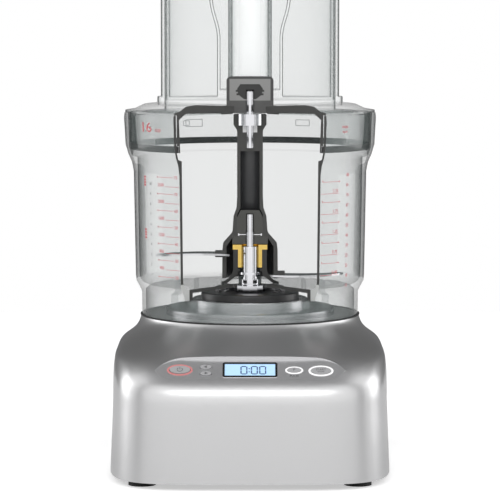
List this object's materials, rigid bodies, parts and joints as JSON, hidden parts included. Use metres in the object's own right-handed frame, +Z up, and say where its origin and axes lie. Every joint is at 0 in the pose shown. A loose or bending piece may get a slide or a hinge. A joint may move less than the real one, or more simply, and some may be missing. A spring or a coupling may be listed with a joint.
{
  "type": "food processor",
  "caption": "Large food processor, cut open at the front: clear bowl, lid and wide feed chute, bladed spindle on a steel drive shaft, silver base with a button panel.",
  "frame": {"origin": "on the drive shaft's axis, at the level of the table under the feet", "axes": "+Z up along the drive shaft, -Y towards the control panel, +X to the right of a user facing the panel"},
  "size_m": [0.228, 0.3, 0.455],
  "materials": {
    "painted_silver": "satin silver paint on die-cast metal",
    "panel_silver": "satin",
    "dock_metal": "turned satin",
    "black_plastic": "black moulded",
    "dark_metal": "dark nickel",
    "bright_steel": "bright turned",
    "bright_trim": "polished",
    "lit_white": "light pipe",
    "lit_red": "lit red light pipe",
    "display": "lit liquid crystal pane",
    "button_grey": "satin silver",
    "button_dark": "dark grey",
    "circuit": "board",
    "rubber": "black",
    "lamination": "stacked steel sheet",
    "copper": "enamelled copper wire",
    "cast_aluminium": "as cast",
    "clear_plastic": "clear with a pale green-grey tint",
    "brass": "bright section",
    "dark_plastic": "dark grey moulded",
    "mid_grey_plastic": "grey moulded",
    "white_plastic": "white",
    "grey_cap": "grey"
  },
  "bodies": {
    "base": {"base_housing": "painted_silver", "base_plate": "black_plastic", "rubber_feet": "rubber", "base_plate_screws": "bright_steel", "dock_ring": "dock_metal", "bearing_cover": "black_plastic", "drive_cup": "dark_metal", "cord_gland": "black_plastic", "control_panel": "panel_silver", "lcd_frame": "bright_trim", "lcd_window": "display", "control_board": "circuit", "motor_stator": "lamination", "motor_windings": "copper", "motor_bottom_bracket": "cast_aluminium", "motor_top_bracket": "cast_aluminium", "lower_bearing": "bright_steel", "upper_bearing": "bright_steel", "motor_mounts": "rubber", "motor_bolts": "bright_steel", "run_capacitor": "cast_aluminium", "interlock_switch": "black_plastic", "power_ring": "lit_red", "pulse_ring": "lit_white", "start_ring": "lit_white"},
    "motor": {"drive_shaft": "bright_steel", "motor_rotor": "lamination", "cooling_fan": "dark_plastic", "drive_nut": "bright_steel", "shaft_collar": "bright_steel", "shaft_flange": "bright_steel"},
    "bowl": {"bowl": "clear_plastic", "drive_bush": "brass", "bowl_handle": "dark_plastic", "handle_grip": "rubber", "interlock_spring": "bright_steel"},
    "rod": {"interlock_rod": "bright_steel"},
    "spindle": {"spindle_body": "dark_plastic", "spindle_insert": "dark_plastic", "spindle_clip": "bright_steel", "spindle_pin": "bright_steel", "spindle_ring": "bright_steel", "pin_sleeve": "white_plastic", "upper_blade": "bright_steel", "lower_blade": "bright_steel"},
    "seal": {"lid_seal": "rubber"},
    "lid": {"lid": "clear_plastic", "hub_shell": "dark_plastic", "hub_base": "dark_plastic", "hub_core": "mid_grey_plastic", "hub_boot": "rubber"},
    "pusher": {"pusher": "clear_plastic"},
    "small_pusher": {"small_pusher": "white_plastic", "small_pusher_cap": "grey_cap"},
    "power_button": {"power_button": "button_grey"},
    "timer_up_button": {"timer_up_button": "button_grey"},
    "timer_down_button": {"timer_down_button": "button_grey"},
    "pulse_button": {"pulse_button": "button_grey"},
    "start_button": {"start_button": "button_dark"}
  },
  "joints": [
    {"name": "motor_spin", "type": "hinge", "parent": "base", "child": "motor", "pos_m": [0, 0, 0.1], "axis": [0, 0, 1], "continuous": true},
    {"name": "bowl_lift", "type": "slide", "parent": "base", "child": "bowl", "axis": [0, 0, 1], "range_m": [0, 0.1]},
    {"name": "spindle_spin", "type": "hinge", "parent": "bowl", "child": "spindle", "pos_m": [0, 0, 0.2], "axis": [0, 0, 1], "continuous": true},
    {"name": "lid_lift", "type": "slide", "parent": "bowl", "child": "seal", "axis": [0, 0, 1], "range_m": [0, 0.08]},
    {"name": "lid_turn", "type": "hinge", "parent": "seal", "child": "lid", "pos_m": [0, 0, 0.295], "axis": [0, 0, 1], "range_deg": [0, 20]},
    {"name": "rod_slide", "type": "slide", "parent": "bowl", "child": "rod", "axis": [0, 0, 1], "range_m": [0, 0.0031], "deforming": ["interlock_spring"]},
    {"name": "pusher_slide", "type": "slide", "parent": "lid", "child": "pusher", "axis": [0, 0, 1], "range_m": [0, 0.12]},
    {"name": "small_pusher_slide", "type": "slide", "parent": "pusher", "child": "small_pusher", "axis": [0, 0, 1], "range_m": [0, 0.12]},
    {"name": "power_button_press", "type": "slide", "parent": "base", "child": "power_button", "axis": [0, 0.6018, -0.7986], "range_m": [0, 0.0012], "stiffness_N_per_m": 900},
    {"name": "timer_up_button_press", "type": "slide", "parent": "base", "child": "timer_up_button", "axis": [0, 0.6018, -0.7986], "range_m": [0, 0.0012], "stiffness_N_per_m": 900},
    {"name": "timer_down_button_press", "type": "slide", "parent": "base", "child": "timer_down_button", "axis": [0, 0.6018, -0.7986], "range_m": [0, 0.0012], "stiffness_N_per_m": 900},
    {"name": "pulse_button_press", "type": "slide", "parent": "base", "child": "pulse_button", "axis": [0, 0.6018, -0.7986], "range_m": [0, 0.0012], "stiffness_N_per_m": 900},
    {"name": "start_button_press", "type": "slide", "parent": "base", "child": "start_button", "axis": [0, 0.6018, -0.7986], "range_m": [0, 0.0012], "stiffness_N_per_m": 900}
  ],
  "couplings": [
    {"joint": "spindle_spin", "follows": "motor_spin", "ratio": 1},
    {"joint": "rod_slide", "follows": "lid_turn", "m_per_rad": 0.0086}
  ]
}
